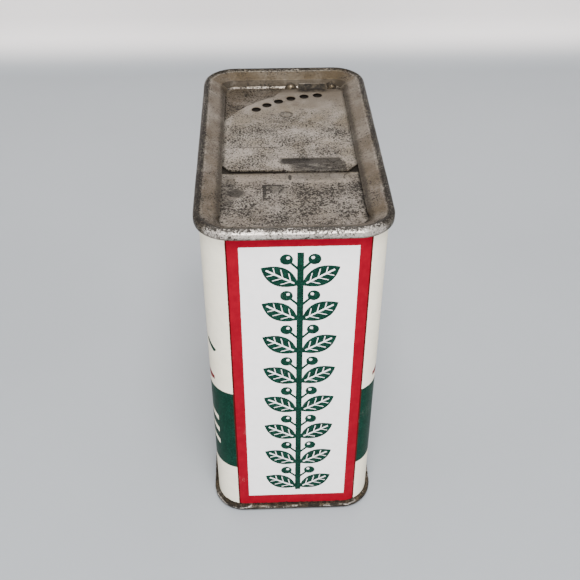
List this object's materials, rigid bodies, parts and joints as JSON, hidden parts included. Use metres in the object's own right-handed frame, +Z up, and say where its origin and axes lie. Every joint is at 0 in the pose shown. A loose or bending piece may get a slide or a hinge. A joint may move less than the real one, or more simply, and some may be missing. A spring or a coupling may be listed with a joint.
{
  "type": "spice tin",
  "caption": "Upright rectangular spice tin with rounded corners, rolled seams and a recessed top whose slide plate opens for sprinkling or pouring.",
  "frame": {"origin": "middle of the base, on the surface that the tin stands on", "axes": "+Z up the tin, X across the narrow faces, Y along the broad faces; the slide plate opens towards -Y"},
  "size_m": [0.0366, 0.0666, 0.0794],
  "materials": {
    "printed_tinplate": "gloss",
    "top_tinplate": "aged satin",
    "base_tinplate": "aged satin",
    "slide_tinplate": "aged satin"
  },
  "bodies": {
    "tin": {"body_shell": "printed_tinplate", "top_end": "top_tinplate", "bottom_end": "base_tinplate"},
    "slide": {"slide_plate": "slide_tinplate"}
  },
  "joints": [
    {"name": "plate_slide", "type": "slide", "parent": "tin", "child": "slide", "axis": [0, -1, 0], "range_m": [0, 0.018]}
  ]
}
